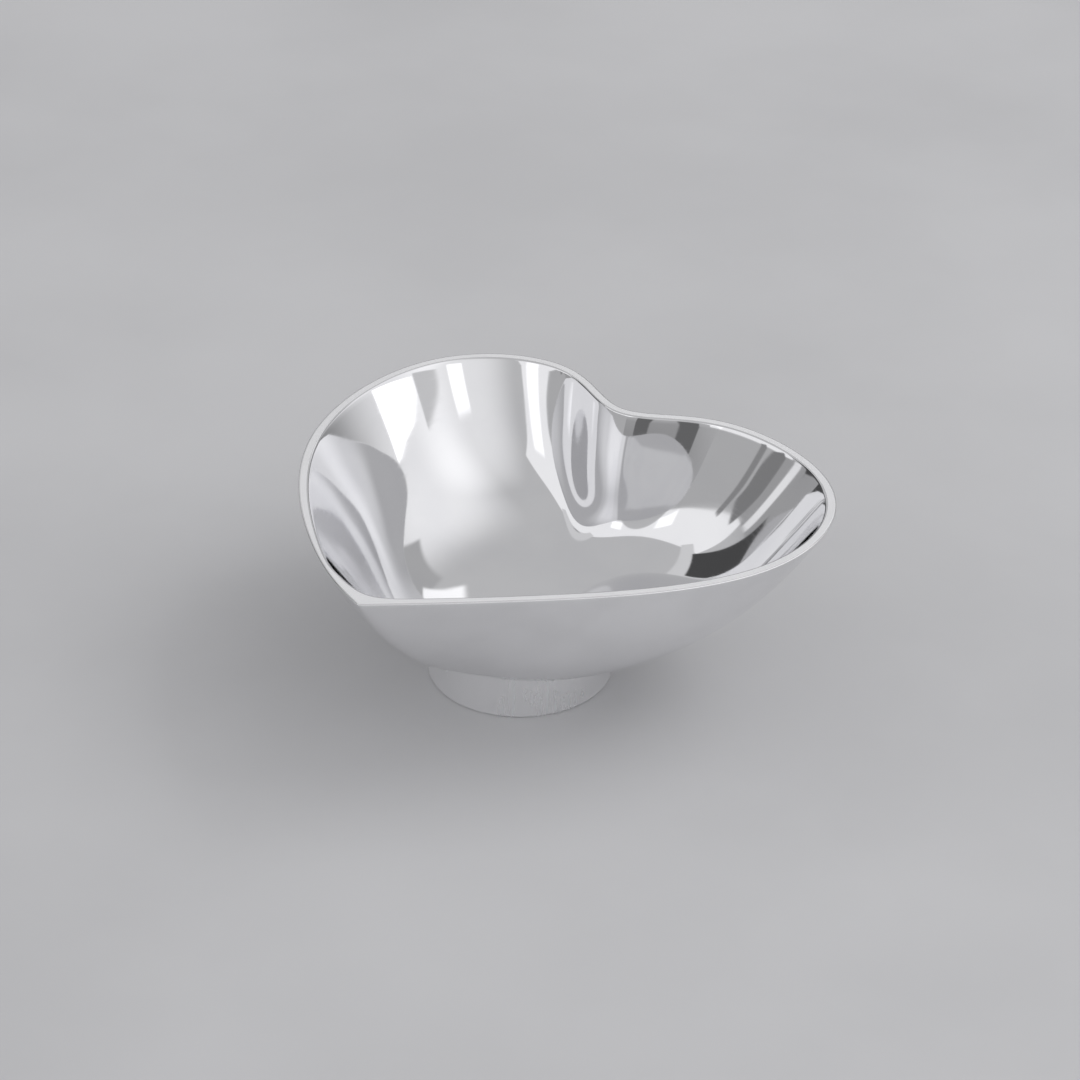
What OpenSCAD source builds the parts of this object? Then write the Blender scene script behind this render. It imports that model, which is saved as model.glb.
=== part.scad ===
// Open heart-shaped bowl in polished aluminium, standing on a round foot ring.
// Frame: +Z up, Z = 0 on the table, origin under the middle of the rim's extents.
// The heart's tip points along -Y and its cleft along +Y.

/* [Bowl] */
// Width of the heart across both lobes
heart_width = 164; // [140:1:190]
// Length of the heart from its tip to the top of the lobes
heart_length = 148; // [126:1:172]
// Height of the rim above the table
rim_height = 66; // [56:1:76]
// Width of the flat band that the rim is ground to
rim_width = 3.2; // [2.8:0.1:5]
// Bevel on the two edges of the rim band
rim_bevel = 0.4; // [0.2:0.1:0.8]
// Thickness of the bowl's floor over the foot
floor_thickness = 3.7; // [3.5:0.1:5]
// How far the rim's outer edge is rounded at the tip
tip_sharp = 1.5; // [1.5:0.5:4]
// How far the wall below the rim is rounded at the tip
tip_soft = 18; // [10:1:20]

/* [Foot] */
// Height of the foot ring, which carries the flat underside of the bowl
foot_height = 17.5; // [14:0.5:20]
// Outer diameter of the foot ring at the table
foot_diameter = 57; // [50:1:60]
// Wall thickness of the foot ring
foot_wall = 4; // [3:0.5:6]
// Height of the hollow flare that leads from the foot ring out to the bowl
flare_height = 5; // [3:0.5:7]
// How far the flare stands out from the foot ring's wall
flare_reach = 1; // [0.5:0.1:1.5]
// Radius on the bottom edges of the foot ring
foot_edge = 0.8; // [0.4:0.1:1.2]
// Leg length of the weld bead inside the foot ring
bead_leg = 2.5; // [1.5:0.5:3]

/* [Finish] */
// Points around each ring of the bowl, for every control point of the outline
ring_steps = 8; // [6:1:9]
// Rings up the outside wall
outer_rings = 14; // [8:1:16]
// Rings up the inside wall
inner_rings = 18; // [10:1:20]

/* [Hidden] */
$fn = 96;

// Control points of the rim, anticlockwise from beside the tip, with the tip at the origin.
// The right lobe is fuller than the left one.
LOBES = [
    [32, 23], [96.5, 75], [88.5, 136.5], [26.5, 153.5], [1, 125.5],
    [-24.5, 156.5], [-75, 135], [-77, 63.5], [-26.5, 12]
];
TIP = [0, 0];

// Centres of the foot and of the rings that shape the wall, in the outline's own frame
FOOT_AT = [-0.5, 81];
BELLY_AT = [9, 86.5];
SHOULDER_AT = [-3, 90];
FLOOR_AT = [0, 78];
INNER_BELLY_AT = [7, 87.5];
INNER_SHOULDER_AT = [2.5, 87.5];

// The wall is pulled towards a belly circle low down and a smaller copy of the outline above it
belly_radius = 44.5;
belly_rise = 2.3;
shoulder_scale = 0.77;
shoulder_rise = 11.7;
inner_belly_radius = 52;
inner_shoulder_scale = 0.69;
inner_shoulder_rise = 7;

// The belly circles are drawn in under the cleft, so that it runs down the wall as a ridge
CLEFT = [10, 125.5];
pinch_depth = 8;
pinch_focus = 12;

floor_height = foot_height + floor_thickness;
base_radius = foot_diameter / 2 + flare_reach;
foot_radius = foot_diameter / 2;
bore_radius = foot_radius - foot_wall;

// Closed uniform cubic B-spline: four weights for a point and for its direction
function weights(u) =
    [pow(1 - u, 3), 3 * pow(u, 3) - 6 * u * u + 4, -3 * pow(u, 3) + 3 * u * u + 3 * u + 1, pow(u, 3)] / 6;
function slopes(u) =
    [-pow(1 - u, 2), 3 * u * u - 4 * u, -3 * u * u + 2 * u + 1, u * u] / 2;
function unit(v) = v / norm(v);

// The whole net: the tip has a control point on each side, closer for a sharper tip
function net(tip_round) = concat(
    [TIP, tip_round * unit(LOBES[0])],
    LOBES,
    [tip_round * unit(LOBES[len(LOBES) - 1])]
);
function four(points, i) = [for (k = [-1:2]) points[(i + k + len(points)) % len(points)]];

// Points of the outline, moved inwards by inset
function outline(tip_round, inset = 0) =
    let (points = net(tip_round))
    [for (i = [0:len(points) - 1], s = [0:ring_steps - 1])
        let (
            u = s / ring_steps,
            at = weights(u) * four(points, i),
            along = unit(slopes(u) * four(points, i))
        )
        at + inset * [-along.y, along.x]
    ];

// The outline's own extents, which the driving width and length are measured against
SHARP = outline(tip_sharp);
low = [min([for (p = SHARP) p.x]), min([for (p = SHARP) p.y])];
high = [max([for (p = SHARP) p.x]), max([for (p = SHARP) p.y])];
stretch = [heart_width / (high.x - low.x), heart_length / (high.y - low.y)];
middle = (low + high) / 2;
foot_centre = placed(FOOT_AT);

// From the outline's frame to the part's frame
function placed(p) = [(p.x - middle.x) * stretch.x, (p.y - middle.y) * stretch.y];

SOFT = outline(tip_soft);
BAND = outline(tip_soft, rim_width);

// Rings in the part's frame
function level(points, z) = [for (p = points) [placed(p).x, placed(p).y, z]];
function round_ring(centre, radius, z, pinch = 0) =
    let (hub = placed(centre), aim = unit(placed(CLEFT) - hub))
    [for (p = SOFT)
        let (
            out = unit(placed(p) - hub),
            flat = hub + (radius - pinch * pow(max(0, out * aim), pinch_focus)) * out
        )
        [flat.x, flat.y, z]
    ];
function scaled(points, centre, factor) = [for (p = points) centre + factor * (p - centre)];
function blend(rings, t) =
    let (w = [pow(1 - t, 3), 3 * pow(1 - t, 2) * t, 3 * (1 - t) * t * t, pow(t, 3)])
    [for (i = [0:len(rings[0]) - 1])
        w[0] * rings[0][i] + w[1] * rings[1][i] + w[2] * rings[2][i] + w[3] * rings[3][i]
    ];

OUTSIDE = [
    round_ring(FOOT_AT, base_radius, foot_height),
    round_ring(BELLY_AT, belly_radius, foot_height + belly_rise, pinch_depth),
    level(scaled(SOFT, SHOULDER_AT, shoulder_scale), foot_height + shoulder_rise),
    level(SHARP, rim_height - rim_bevel)
];
INSIDE = [
    level([for (p = SOFT) FLOOR_AT], floor_height),
    round_ring(INNER_BELLY_AT, inner_belly_radius, floor_height, pinch_depth),
    level(scaled(BAND, INNER_SHOULDER_AT, inner_shoulder_scale), floor_height + inner_shoulder_rise),
    level(BAND, rim_height - rim_bevel)
];

// Bowl: one skin that runs up the outside, over the rim band and down the inside
module bowl() {
    around = len(SHARP);
    rings = concat(
        [for (k = [0:outer_rings]) blend(OUTSIDE, k / outer_rings)],
        [level(outline(tip_sharp, rim_bevel), rim_height)],
        [level(outline(tip_soft, rim_width - rim_bevel), rim_height)],
        [for (k = [inner_rings:-1:1]) blend(INSIDE, k / inner_rings)]
    );
    skin = [for (ring = rings) each ring];
    last = len(rings) - 1;
    under = len(skin);
    floor_middle = under + 1;
    points = concat(
        skin,
        [[foot_centre.x, foot_centre.y, foot_height]],
        [[placed(FLOOR_AT).x, placed(FLOOR_AT).y, floor_height]]
    );
    sides = [for (r = [0:last - 1], i = [0:around - 1])
        let (a = r * around + i, b = r * around + (i + 1) % around)
        each [[a, a + around, b], [b, a + around, b + around]]
    ];
    underside = [for (i = [0:around - 1]) [under, i, (i + 1) % around]];
    floor_fan = [for (i = [0:around - 1])
        [floor_middle, last * around + (i + 1) % around, last * around + i]
    ];
    color("silver") polyhedron(points, concat(sides, underside, floor_fan), convexity = 4);
}

// Concave quarter of an ellipse, from the wall of the foot up to the edge of the bowl's base
function flare(steps) = [for (k = [0:steps])
    let (a = 90 * k / steps)
    [foot_radius + flare_reach * (1 - cos(a)), foot_height - flare_height * (1 - sin(a))]
];

// Rounded corner of the foot's bottom edge, from one angle to another
function edge_arc(x, start, steps) = [for (k = [0:steps])
    let (a = start + 90 * k / steps)
    [x + foot_edge * cos(a), foot_edge + foot_edge * sin(a)]
];

// Foot ring: turned ring with an open bore, rounded where it stands and flared where it joins
module foot_ring() {
    profile = concat(
        edge_arc(bore_radius + foot_edge, 180, 6),
        edge_arc(foot_radius - foot_edge, 270, 6),
        flare(8),
        [[bore_radius, foot_height]]
    );
    color("gainsboro") translate([foot_centre.x, foot_centre.y, 0]) rotate_extrude() polygon(profile);
}

// Weld bead: hollow fillet in the corner between the ring's bore and the bowl's underside
module weld_bead() {
    face = [for (k = [0:6])
        let (a = 90 * k / 6)
        [bore_radius - bead_leg * (1 - sin(a)), foot_height - bead_leg * (1 - cos(a))]
    ];
    color("darkgray") translate([foot_centre.x, foot_centre.y, 0])
        rotate_extrude() polygon(concat([[bore_radius, foot_height]], face));
}

bowl();
foot_ring();
weld_bead();
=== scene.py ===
import math

import bmesh
import bpy
import numpy as np
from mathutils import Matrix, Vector, noise


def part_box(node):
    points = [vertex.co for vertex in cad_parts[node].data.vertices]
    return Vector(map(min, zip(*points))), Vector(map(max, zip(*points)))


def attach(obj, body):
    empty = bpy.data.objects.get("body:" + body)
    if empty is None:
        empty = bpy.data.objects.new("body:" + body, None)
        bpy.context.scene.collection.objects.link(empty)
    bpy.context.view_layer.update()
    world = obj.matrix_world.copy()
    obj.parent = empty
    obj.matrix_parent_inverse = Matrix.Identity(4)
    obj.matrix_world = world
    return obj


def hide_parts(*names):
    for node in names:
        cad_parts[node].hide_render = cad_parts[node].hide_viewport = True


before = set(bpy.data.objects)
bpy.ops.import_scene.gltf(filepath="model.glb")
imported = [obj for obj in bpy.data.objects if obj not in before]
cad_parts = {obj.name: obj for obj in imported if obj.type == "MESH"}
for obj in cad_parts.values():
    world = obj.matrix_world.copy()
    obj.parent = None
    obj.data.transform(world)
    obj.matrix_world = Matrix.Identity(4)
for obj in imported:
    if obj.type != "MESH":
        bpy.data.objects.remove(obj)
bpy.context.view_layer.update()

MM = 0.001

# ---------------------------------------------------------------- driving values

# Lengths are in millimetres, unless a comment says otherwise.

# Control points of the rim, anticlockwise from beside the tip, with the tip at the origin.
# The right lobe is fuller than the left one.
LOBES = [
    [32, 23], [96.5, 75], [88.5, 136.5], [26.5, 153.5], [1, 125.5],
    [-24.5, 156.5], [-75, 135], [-77, 63.5], [-26.5, 12],
]
TIP = [0, 0]
TIP_SHARP = 1.5
TIP_SOFT = 18

# The flat band of the rim, and how far its two edges are rounded
RIM_WIDTH = 3.2
OUTER_EDGE = 0.7
INNER_EDGE = 0.5

# The wall: the centres of the rings that shape it, in the outline's own frame, then their sizes
BELLY_AT = [9, 86.5]
SHOULDER_AT = [-3, 90]
FLOOR_AT = [0, 78]
INNER_BELLY_AT = [7, 87.5]
INNER_SHOULDER_AT = [2.5, 87.5]
BELLY_RADIUS = 44.5
BELLY_RISE = 2.3
SHOULDER_SCALE = 0.77
SHOULDER_RISE = 11.7
FLOOR_THICKNESS = 3.7
INNER_BELLY_RADIUS = 52
INNER_SHOULDER_SCALE = 0.69
INNER_SHOULDER_RISE = 7

# The pinch that carries the cleft down the wall as a narrow ridge
CLEFT = [10, 125.5]
PINCH_DEPTH = 8
PINCH_FOCUS = 12

# The foot ring, its flare and the weld bead
FOOT_WALL = 4
FOOT_EDGE = 0.8
FLARE_HEIGHT = 5
FLARE_REACH = 1
BEAD_LEG = 2.5

# Ripples round the weld bead, which stand out towards the middle of the foot
BEAD_RIPPLE = -0.25
BEAD_RIPPLES = 70

# Waves that hand polishing leaves on the wall, with their depth and length in metres. They fade out
# between two depths below the rim. Finer waves go over them, at a share of their depth.
WAVE_DEPTH = 0.00005
WAVE_LENGTH = 0.022
WAVE_FADE = (14, 4)
FINER_WAVES = 2.1
FINER_SHARE = 0.5
FINER_SHIFT = Vector((7, 3, 5))

# How finely the pieces are meshed
STEPS_PER_POINT = 32
OUTSIDE_STEPS = 56
INSIDE_STEPS = 72
EDGE_STEPS = 6
BAND_STEPS = 4
BEAD_STEPS = 8
FOOT_SECTORS = 280
FOOT_EDGE_STEPS = 8
FOOT_WALL_STEPS = 6
FLARE_STEPS = 12
BORE_STEPS = 8

# Metals: how metallic they look, colour, tarnish in the dull patches, roughness range, and the
# polishing lines. The ground rim and the brushed foot scatter some light, so they aren't fully metallic.
BOWL_METALS = [
    dict(name="mirror_polish", metallic=1.0, colour=(0.84, 0.84, 0.85), tarnish=(0.81, 0.81, 0.825),
         gloss=(0.02, 0.06), lines=0.03, line_stretch=(1.0, 14.0, 1.0), line_scale=90.0, depth=0.0000004),
    dict(name="ground_rim", metallic=0.4, colour=(0.97, 0.97, 0.98), tarnish=(0.93, 0.93, 0.94),
         gloss=(0.36, 0.44), lines=0.10, line_stretch=(1.0, 30.0, 1.0), line_scale=120.0, depth=0.000006),
    dict(name="soft_polish", metallic=1.0, colour=(0.93, 0.93, 0.94), tarnish=(0.88, 0.88, 0.89),
         gloss=(0.10, 0.18), lines=0.06, line_stretch=(1.0, 8.0, 1.0), line_scale=80.0, depth=0.000002),
]
FOOT_METAL = dict(name="brushed_foot", metallic=0.8, colour=(0.97, 0.97, 0.98), tarnish=(0.92, 0.92, 0.93),
                  gloss=(0.20, 0.28), lines=0.03, line_stretch=(10.0, 0.5, 1.0), line_scale=60.0,
                  depth=0.0000001)
BEAD_METAL = dict(name="weld_metal", metallic=1.0, colour=(0.62, 0.62, 0.63), tarnish=(0.42, 0.42, 0.44),
                  gloss=(0.38, 0.55), lines=0.15, line_stretch=(6.0, 1.0, 1.0), line_scale=150.0,
                  depth=0.00003)
PATCH_SCALE = 45.0
PATCH_DETAIL = 5.0
LINE_DETAIL = 6.0

# The part of each noise over which tarnish, dullness, polishing lines and mottling come in
TARNISH_RANGE = (0.35, 0.7)
DULL_RANGE = (0.3, 0.75)
LINE_RANGE = (0.35, 0.7)
MOTTLE_RANGE = (0.3, 0.7)

# Floor, with its reach in metres
FLOOR_SHADE = (0.58, 0.58, 0.59)
FLOOR_LIGHT = (0.64, 0.64, 0.65)
FLOOR_REACH = 4.0
FLOOR_ROUGHNESS = 0.75
MOTTLE_SCALE = 5.0
MOTTLE_DETAIL = 6.0

# Camera, in metres and degrees, with its lens and sensor in millimetres
LOOKS_AT = (-0.0443, 0.0705, 0.0)
VIEW_DISTANCE = 1.0489
VIEW_AZIMUTH = -34.08
VIEW_DOWN = 32.0
CLIP_START = 0.05
LENS = 106.67
SENSOR = 36.0

# Studio. The light rises from the horizon's level to the ceiling's. A glow is azimuth, elevation,
# radius and gain. A screen is azimuth, elevation, width, height, roll and edge, all in degrees, and
# its level of light: the bright ones are softboxes, the dark ones are flags. Later screens stand in
# front of earlier ones. A screen shows only in directions that have IN_FRONT of its own in them.
HORIZON = 0.30
CEILING = 0.535
CEILING_FROM = 0.35
BLUE_TINT = 1.015
IN_FRONT = 0.05
GLOWS = [
    (48, 44, 50, 0.42),
    (115, 28, 50, 0.34),
]
SCREENS = [
    (-38, 3, 102, 17, 0, 2, 0.07),
    (0, 29, 26, 22, 0, 3, 0.43),
    (64.5, 20.5, 28, 5, 14, 0.7, 1.7),
    (92, 25.5, 27, 9, 5, 1, 0.62),
    (114, 31.5, 10, 5.5, 3, 2, 1.4),
    (-21, 33, 12, 3.5, -28, 1.5, 1.15),
    (-146, 31, 64, 30, 0, 1.5, 0.95),
    (-172, 22.5, 9, 9, -20, 3, 1.35),
    (-145, 7, 50, 13, 0, 1, 0.45),
    (-105, 7, 40, 13, 0, 1, 0.36),
    (-133, 12, 2.5, 7, 15, 1.2, 0.26),
    (-123, 11, 9, 6, 25, 1.2, 0.22),
    (167, 7, 11, 9, 12, 1.2, 0.14),
    (-88, 45, 52, 7, 0, 1.5, 0.68),
    (-87, 25.5, 26, 31.5, 0, 1.5, 0.07),
    (-108, 9.5, 4, 7, 0, 1.5, 0.85),
]

# Key light: azimuth and elevation in degrees, distance and size in metres, power in watts
KEY_FROM = (48, 50)
KEY_DISTANCE = 1.6
KEY_SIZE = (0.9, 0.6)
KEY_POWER = 4.0

# ---------------------------------------------------------------- places that the CAD frame gives

bowl_low, bowl_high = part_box("bowl")
foot_low, foot_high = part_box("foot_ring")
RIM_HEIGHT = bowl_high.z / MM
FOOT_HEIGHT = bowl_low.z / MM
FLOOR_HEIGHT = FOOT_HEIGHT + FLOOR_THICKNESS
FOOT_CENTRE = np.array([foot_low.x + foot_high.x, foot_low.y + foot_high.y]) / 2 / MM
BASE_RADIUS = (foot_high.x - foot_low.x) / 2 / MM
FOOT_RADIUS = BASE_RADIUS - FLARE_REACH
BORE_RADIUS = FOOT_RADIUS - FOOT_WALL


# ---------------------------------------------------------------- the heart outline and its rings

def unit(v):
    return v / np.linalg.norm(v, axis=-1, keepdims=True)


def outline(tip_round, inset=0.0):
    """Closed cubic B-spline through the control net, moved inwards by inset. One row a point."""
    first, last = np.array(LOBES[0], float), np.array(LOBES[-1], float)
    net = np.array([TIP, tip_round * unit(first), *LOBES, tip_round * unit(last)], float)
    u = np.arange(STEPS_PER_POINT)[:, None] / STEPS_PER_POINT
    place = np.hstack([(1 - u) ** 3, 3 * u**3 - 6 * u**2 + 4, -3 * u**3 + 3 * u**2 + 3 * u + 1, u**3]) / 6
    slope = np.hstack([-((1 - u) ** 2), 3 * u**2 - 4 * u, -3 * u**2 + 2 * u + 1, u**2]) / 2
    points, headings = [], []
    for i in range(len(net)):
        four = net[[(i + k) % len(net) for k in (-1, 0, 1, 2)]]
        points.append(place @ four)
        headings.append(unit(slope @ four))
    heading = np.vstack(headings)
    return np.vstack(points) + inset * np.column_stack([-heading[:, 1], heading[:, 0]])


sharp = outline(TIP_SHARP)
middle = (sharp.min(0) + sharp.max(0)) / 2
stretch = np.array([bowl_high.x - bowl_low.x, bowl_high.y - bowl_low.y]) / MM / np.ptp(sharp, axis=0)


def placed(p):
    """From the outline's own frame to the part's frame."""
    return (np.asarray(p, float) - middle) * stretch


def level(points, z):
    flat = placed(points)
    return np.column_stack([flat, np.full(len(flat), float(z))])


def round_ring(centre, radius, z, pinch=0.0):
    """Circle whose points keep the bearings of the soft outline, drawn in by pinch under the cleft."""
    out = unit(placed(soft) - centre)
    facing = np.maximum(out @ unit(placed(CLEFT) - centre), 0)
    reach = radius - pinch * facing[:, None] ** PINCH_FOCUS
    return np.column_stack([centre + reach * out, np.full(len(out), float(z))])


def scaled(points, centre, factor):
    return np.array(centre) + factor * (points - np.array(centre))


def blend(rings, t):
    """Cubic Bezier across four rings."""
    weights = ((1 - t) ** 3, 3 * (1 - t) ** 2 * t, 3 * (1 - t) * t**2, t**3)
    return sum(w * ring for w, ring in zip(weights, rings))


def near_rim(rings, back):
    """The ring that lies back millimetres down the wall from its last one."""
    speed = 3 * np.linalg.norm(rings[3] - rings[2], axis=1).mean()
    return blend(rings, 1 - back / speed)


def corner(start, tip, end, steps):
    """Rounded edge: rings of the quadratic curve from start to end that aims at tip, both ends left out."""
    rings = []
    for k in range(1, steps):
        t = k / steps
        rings.append((1 - t) ** 2 * start + 2 * t * (1 - t) * tip + t * t * end)
    return rings


soft = outline(TIP_SOFT)
band = outline(TIP_SOFT, RIM_WIDTH)
outside_rings = [
    round_ring(FOOT_CENTRE, BASE_RADIUS, FOOT_HEIGHT),
    round_ring(placed(BELLY_AT), BELLY_RADIUS, FOOT_HEIGHT + BELLY_RISE, PINCH_DEPTH),
    level(scaled(soft, SHOULDER_AT, SHOULDER_SCALE), FOOT_HEIGHT + SHOULDER_RISE),
    level(sharp, RIM_HEIGHT),
]
inside_rings = [
    level(np.tile(FLOOR_AT, (len(soft), 1)), FLOOR_HEIGHT),
    round_ring(placed(INNER_BELLY_AT), INNER_BELLY_RADIUS, FLOOR_HEIGHT, PINCH_DEPTH),
    level(scaled(band, INNER_SHOULDER_AT, INNER_SHOULDER_SCALE), FLOOR_HEIGHT + INNER_SHOULDER_RISE),
    level(band, RIM_HEIGHT),
]


# ---------------------------------------------------------------- mesh helpers

def lap_lengths(ring):
    """Distance along a closed ring up to each point, with the full turn last."""
    steps = np.linalg.norm(np.roll(ring, -1, 0) - ring, axis=1)
    return np.concatenate([[0], np.cumsum(steps)]) * MM


def grid_piece(name, rings, regions, closed=False, caps=()):
    """Mesh from rings of equal length, in millimetres, with one material index for each gap between
    rings. Its UV map runs round the piece in U and along the profile in V, in metres. A cap is
    (ring, flipped, region) and closes that ring with one face."""
    around = len(rings[0])
    along = max((lap_lengths(ring) for ring in rings), key=lambda laps: laps[-1])
    following = rings[1:] + rings[:1]
    profile = np.cumsum([0] + [np.linalg.norm(b - a, axis=1).mean() * MM for a, b in zip(rings, following)])
    bm = bmesh.new()
    verts = [bm.verts.new(p) for p in np.vstack(rings) * MM]
    uv = bm.loops.layers.uv.new("wall")
    for r in range(len(rings) if closed else len(rings) - 1):
        low, high = r * around, (r + 1) % len(rings) * around
        for i in range(around):
            j = (i + 1) % around
            face = bm.faces.new((verts[low + i], verts[low + j], verts[high + j], verts[high + i]))
            face.material_index = regions[r]
            face.smooth = True
            corners = ((i, r), (i + 1, r), (i + 1, r + 1), (i, r + 1))
            for loop, (column, row) in zip(face.loops, corners):
                loop[uv].uv = (along[column], profile[row])
    for ring, flipped, region in caps:
        edge = verts[ring * around:(ring + 1) * around]
        face = bm.faces.new(edge[::-1] if flipped else edge)
        face.material_index = region
        face.smooth = True
    mesh = bpy.data.meshes.new(name)
    bm.to_mesh(mesh)
    bm.free()
    piece = bpy.data.objects.new(name, mesh)
    bpy.context.scene.collection.objects.link(piece)
    return piece


def hand_finish(piece, region):
    """Slight waves that polishing by hand leaves on a region, fading out towards the rim."""
    fade_from, fade_to = [(RIM_HEIGHT - below) * MM for below in WAVE_FADE]
    mesh = piece.data
    rows = sorted({v for face in mesh.polygons if face.material_index == region for v in face.vertices})
    normals = [mesh.vertices[v].normal.copy() for v in rows]
    for v, normal in zip(rows, normals):
        at = mesh.vertices[v].co.copy()
        fade = min(1.0, max(0.0, (fade_to - at.z) / (fade_to - fade_from)))
        place = at / WAVE_LENGTH
        wave = noise.noise(place) + FINER_SHARE * noise.noise(place * FINER_WAVES + FINER_SHIFT)
        mesh.vertices[v].co = at + normal * WAVE_DEPTH * fade * wave


# ---------------------------------------------------------------- the pieces

INSIDE, RIM, OUTSIDE = range(3)


def make_bowl():
    """One skin: up the outside wall, over the rounded rim band and down the inside to the floor's middle."""
    up = [blend(outside_rings, k / OUTSIDE_STEPS) for k in range(OUTSIDE_STEPS)]
    down = [blend(inside_rings, 1 - k / INSIDE_STEPS) for k in range(1, INSIDE_STEPS)]
    outer_lip = level(outline(TIP_SHARP, OUTER_EDGE), RIM_HEIGHT)
    inner_lip = level(outline(TIP_SOFT, RIM_WIDTH - INNER_EDGE), RIM_HEIGHT)
    up.append(near_rim(outside_rings, OUTER_EDGE))
    down.insert(0, near_rim(inside_rings, INNER_EDGE))
    up += corner(up[-1], outside_rings[-1], outer_lip, EDGE_STEPS)
    band_rings = [outer_lip + (inner_lip - outer_lip) * k / BAND_STEPS for k in range(BAND_STEPS + 1)]
    down = corner(inner_lip, inside_rings[-1], down[0], EDGE_STEPS) + down
    rings = up + band_rings + down
    regions = [OUTSIDE] * len(up) + [RIM] * BAND_STEPS + [INSIDE] * len(down)
    caps = [(0, True, OUTSIDE), (len(rings) - 1, False, INSIDE)]
    bowl = grid_piece("polished_bowl", rings, regions, caps=caps)
    for region in (INSIDE, OUTSIDE):
        hand_finish(bowl, region)
    return bowl


def turned(name, profile, swell=None):
    """Closed ring turned from (radius, height) pairs about the foot's centre, anticlockwise in
    section. swell, where given, adds a ripple to the radius for the bearings and the profile point."""
    angles = np.linspace(0, 2 * math.pi, FOOT_SECTORS, endpoint=False)
    rings = []
    for k, (radius, height) in enumerate(profile):
        reach = radius + (swell(angles, k) if swell else 0.0) * np.ones(FOOT_SECTORS)
        flat = FOOT_CENTRE + np.column_stack([reach * np.cos(angles), reach * np.sin(angles)])
        rings.append(np.column_stack([flat, np.full(FOOT_SECTORS, float(height))]))
    return grid_piece(name, rings, [0] * len(rings), closed=True)


def arc(centre, reach, start, sweep, steps):
    """Points on an ellipse's arc, with reach as its two half-axes and angles in degrees."""
    angles = np.radians(np.linspace(start, start + sweep, steps + 1))
    return [(centre[0] + reach[0] * math.cos(a), centre[1] + reach[1] * math.sin(a)) for a in angles]


def make_foot():
    """Turned ring with rounded lower edges and a hollow flare at the top."""
    edge = (FOOT_EDGE, FOOT_EDGE)
    wall_top = FOOT_HEIGHT - FLARE_HEIGHT
    wall = wall_top - FOOT_EDGE
    bore = FOOT_HEIGHT - FOOT_EDGE
    profile = arc((BORE_RADIUS + FOOT_EDGE, FOOT_EDGE), edge, 180, 90, FOOT_EDGE_STEPS)
    profile += arc((FOOT_RADIUS - FOOT_EDGE, FOOT_EDGE), edge, 270, 90, FOOT_EDGE_STEPS)
    profile += [(FOOT_RADIUS, FOOT_EDGE + wall * k / FOOT_WALL_STEPS) for k in range(1, FOOT_WALL_STEPS)]
    profile += arc((BASE_RADIUS, wall_top), (FLARE_REACH, FLARE_HEIGHT), 180, -90, FLARE_STEPS)
    profile += [(BORE_RADIUS, FOOT_HEIGHT - bore * k / BORE_STEPS) for k in range(BORE_STEPS)]
    return turned("turned_foot_ring", profile)


def make_bead():
    """Rippled fillet of weld metal between the ring's bore and the bowl's underside."""
    def ripple(angles, k):
        crown = math.sin(math.pi * min(k, BEAD_STEPS) / BEAD_STEPS)
        return BEAD_RIPPLE * crown * (0.5 + 0.5 * np.sin(BEAD_RIPPLES * angles))
    toe = (BORE_RADIUS - BEAD_LEG, FOOT_HEIGHT)
    face = arc((toe[0], FOOT_HEIGHT - BEAD_LEG), (BEAD_LEG, BEAD_LEG), 90, -90, BEAD_STEPS)
    return turned("rippled_weld_bead", face + [(BORE_RADIUS, FOOT_HEIGHT)], ripple)


# ---------------------------------------------------------------- materials

class Nodes:
    """Short way to write a node tree: each call adds one node, sets it up and links its inputs."""

    def __init__(self, tree):
        self.tree = tree
        tree.nodes.clear()

    def add(self, kind, inputs=(), **settings):
        node = self.tree.nodes.new("ShaderNode" + kind)
        for key, value in settings.items():
            setattr(node, key, value)
        for key, value in dict(inputs).items():
            if isinstance(value, bpy.types.NodeSocket):
                self.tree.links.new(value, node.inputs[key])
            else:
                node.inputs[key].default_value = value
        return node

    def math(self, operation, a, b=0.0, clamp=False):
        return self.add("Math", {0: a, 1: b}, operation=operation, use_clamp=clamp).outputs[0]

    def dot(self, a, b):
        return self.add("VectorMath", {0: a, 1: b}, operation="DOT_PRODUCT").outputs["Value"]

    def ramp(self, value, low, high, to_low, to_high):
        limits = {0: value, 1: low, 2: high, 3: to_low, 4: to_high}
        return self.add("MapRange", limits, interpolation_type="SMOOTHSTEP").outputs[0]


def speckle(nodes, source, scale, detail):
    """Noise over the source's coordinates, from 0 to 1."""
    return nodes.add("TexNoise", {"Vector": source, "Scale": scale, "Detail": detail}).outputs[0]


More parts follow.
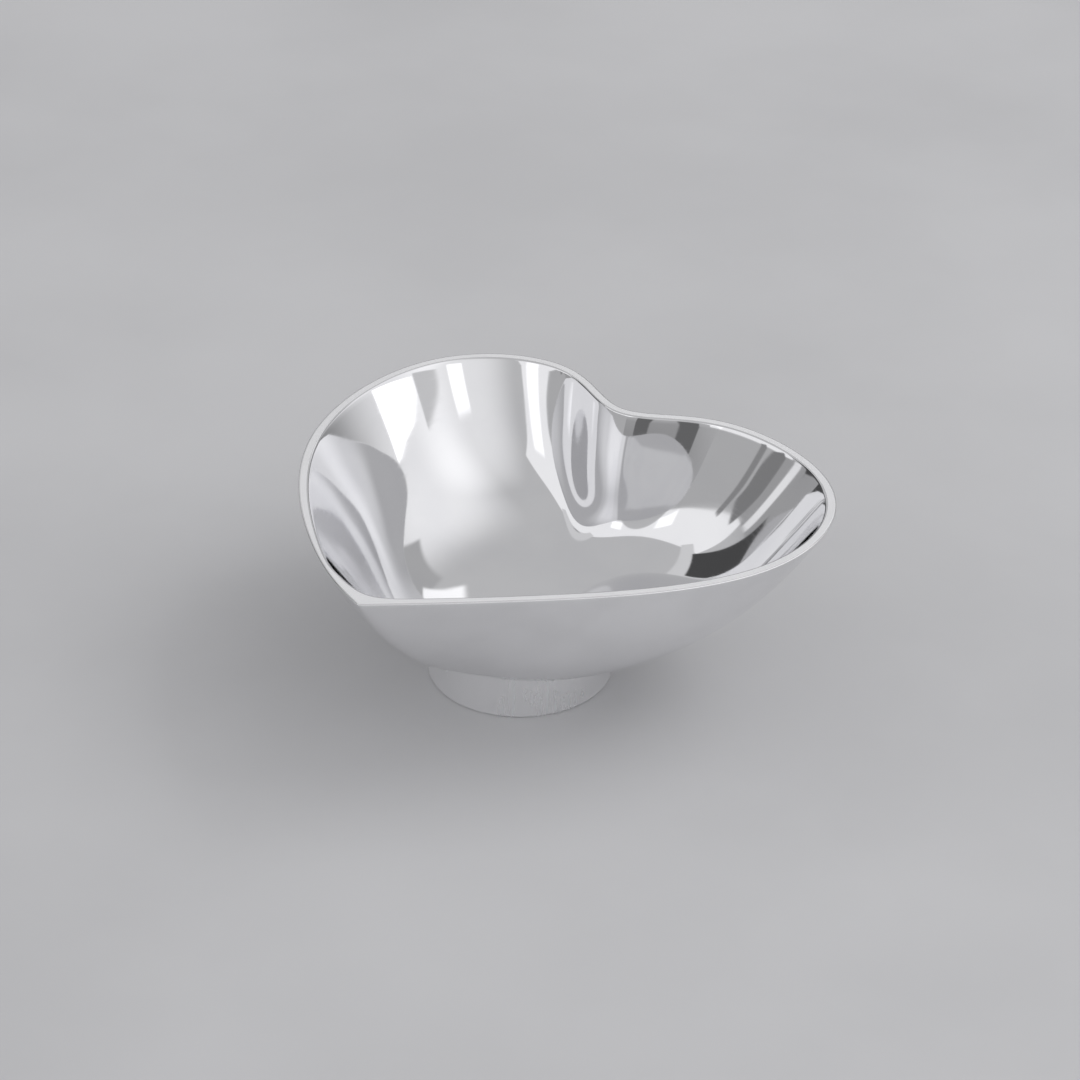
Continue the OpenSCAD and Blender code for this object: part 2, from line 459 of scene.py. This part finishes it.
def metal(name, metallic, colour, tarnish, gloss, lines, line_stretch, line_scale, depth):
    """Bare aluminium. gloss is its roughness from the best polished to the dullest patch. lines says
    how far the polishing lines roughen it. They run along the axis where line_stretch is smallest,
    and depth is how deep they are, in metres."""
    material = bpy.data.materials.new(name)
    material.use_nodes = True
    nodes = Nodes(material.node_tree)
    place = nodes.add("TexCoord").outputs["Object"]
    wall = nodes.add("UVMap", uv_map="wall").outputs[0]
    drawn_out = nodes.add("Mapping", {"Vector": wall, "Scale": line_stretch}).outputs[0]
    patches = speckle(nodes, place, PATCH_SCALE, PATCH_DETAIL)
    brushing = speckle(nodes, drawn_out, line_scale, LINE_DETAIL)
    colours = nodes.ramp(patches, *TARNISH_RANGE, 0.0, 1.0)
    shade = nodes.add("Mix", {0: colours, 6: (*colour, 1), 7: (*tarnish, 1)}, data_type="RGBA").outputs[2]
    dull = nodes.ramp(patches, *DULL_RANGE, *gloss)
    lined = nodes.ramp(brushing, *LINE_RANGE, 0.0, lines)
    roughness = nodes.math("ADD", dull, lined, clamp=True)
    bump = nodes.add("Bump", {"Height": brushing, "Distance": depth, "Strength": 1.0})
    shader = nodes.add("BsdfPrincipled", {
        "Base Color": shade, "Metallic": metallic, "Roughness": roughness, "Normal": bump.outputs[0],
    })
    nodes.add("OutputMaterial", {"Surface": shader.outputs[0]})
    return material


def pale_floor():
    """Smooth pale plaster with faint mottling."""
    material = bpy.data.materials.new("pale_floor")
    material.use_nodes = True
    nodes = Nodes(material.node_tree)
    place = nodes.add("TexCoord").outputs["Object"]
    cloud = speckle(nodes, place, MOTTLE_SCALE, MOTTLE_DETAIL)
    mottle = nodes.ramp(cloud, *MOTTLE_RANGE, 0.0, 1.0)
    pale, paler = (*FLOOR_SHADE, 1), (*FLOOR_LIGHT, 1)
    shade = nodes.add("Mix", {0: mottle, 6: pale, 7: paler}, data_type="RGBA").outputs[2]
    shader = nodes.add("BsdfPrincipled", {"Base Color": shade, "Roughness": FLOOR_ROUGHNESS})
    nodes.add("OutputMaterial", {"Surface": shader.outputs[0]})
    return material


# ---------------------------------------------------------------- studio

def towards(azimuth, elevation):
    """Unit vector; azimuth 0 is +Y and 90 is +X."""
    a, e = math.radians(azimuth), math.radians(elevation)
    return Vector((math.sin(a) * math.cos(e), math.cos(a) * math.cos(e), math.sin(e)))


def soft_glow(nodes, ray, light, azimuth, elevation, radius, gain):
    """Adds a wide soft pool of light round one direction."""
    facing = nodes.dot(ray, towards(azimuth, elevation))
    pool = nodes.ramp(facing, math.cos(math.radians(radius)), 1.0, 0.0, gain)
    return nodes.math("ADD", light, pool)


def screen(nodes, ray, light, azimuth, elevation, width, height, roll, edge, brightness):
    """Puts a soft-edged panel in front of the light so far. Sizes and edge are angles in degrees."""
    centre = towards(azimuth, elevation)
    across = centre.cross(Vector((0, 0, 1))).normalized()
    up = across.cross(centre)
    turn = math.radians(roll)
    sides = (across * math.cos(turn) + up * math.sin(turn), up * math.cos(turn) - across * math.sin(turn))
    fringe = math.tan(math.radians(edge))
    front = nodes.dot(ray, centre)
    mask = nodes.math("GREATER_THAN", front, IN_FRONT)
    for side, size in zip(sides, (width, height)):
        half = math.tan(math.radians(size / 2))
        reach = nodes.math("ABSOLUTE", nodes.math("DIVIDE", nodes.dot(ray, side), front))
        mask = nodes.math("MULTIPLY", mask, nodes.ramp(reach, half, half + fringe, 1.0, 0.0))
    return nodes.add("Mix", {0: mask, 2: light, 3: brightness}, data_type="FLOAT").outputs[0]


def make_studio():
    """World light set by direction, which stays fixed to the scene when the camera moves."""
    world = bpy.data.worlds.new("studio")
    world.use_nodes = True
    bpy.context.scene.world = world
    nodes = Nodes(world.node_tree)
    ray = nodes.add("TexCoord").outputs["Generated"]
    height = nodes.add("SeparateXYZ", {0: ray}).outputs[2]
    light = nodes.ramp(height, 0.0, CEILING_FROM, HORIZON, CEILING)
    for glow in GLOWS:
        light = soft_glow(nodes, ray, light, *glow)
    for panel in SCREENS:
        light = screen(nodes, ray, light, *panel)
    blue = nodes.math("MULTIPLY", light, BLUE_TINT)
    colour = nodes.add("CombineColor", {0: light, 1: light, 2: blue}).outputs[0]
    background = nodes.add("Background", {0: colour, 1: 1.0})
    nodes.add("OutputWorld", {0: background.outputs[0]})


def make_key():
    """One large overhead softbox, which gives the bowl its soft shadow."""
    data = bpy.data.lights.new("key", "AREA")
    data.shape = "RECTANGLE"
    data.size, data.size_y = KEY_SIZE
    data.energy = KEY_POWER
    key = bpy.data.objects.new("key", data)
    key.location = towards(*KEY_FROM) * KEY_DISTANCE
    key.rotation_euler = (-key.location).to_track_quat("-Z", "Y").to_euler()
    key.visible_glossy = False
    bpy.context.scene.collection.objects.link(key)


def make_floor():
    mesh = bpy.data.meshes.new("floor")
    corners = [(x * FLOOR_REACH, y * FLOOR_REACH, 0) for x, y in ((-1, -1), (1, -1), (1, 1), (-1, 1))]
    mesh.from_pydata(corners, [], [(0, 1, 2, 3)])
    floor = bpy.data.objects.new("floor", mesh)
    bpy.context.scene.collection.objects.link(floor)
    floor.data.materials.append(pale_floor())


def make_camera():
    data = bpy.data.cameras.new("camera")
    data.lens = LENS
    data.sensor_width = SENSOR
    data.clip_start = CLIP_START
    camera = bpy.data.objects.new("camera", data)
    camera.location = Vector(LOOKS_AT) - VIEW_DISTANCE * towards(VIEW_AZIMUTH, -VIEW_DOWN)
    camera.rotation_euler = (Vector(LOOKS_AT) - camera.location).to_track_quat("-Z", "Y").to_euler()
    bpy.context.scene.collection.objects.link(camera)
    bpy.context.scene.camera = camera


# ---------------------------------------------------------------- the scene

bpy.context.scene.view_settings.view_transform = "Standard"
bowl = make_bowl()
foot = make_foot()
bead = make_bead()
for finish in BOWL_METALS:
    bowl.data.materials.append(metal(**finish))
foot.data.materials.append(metal(**FOOT_METAL))
bead.data.materials.append(metal(**BEAD_METAL))
for piece, node, slot in (
    (bowl, "bowl", "bowl_metal"), (foot, "foot_ring", "foot_metal"), (bead, "weld_bead", "weld_metal"),
):
    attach(piece, "root")
    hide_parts(node)
make_floor()
make_studio()
make_key()
make_camera()

bpy.context.view_layer.update()
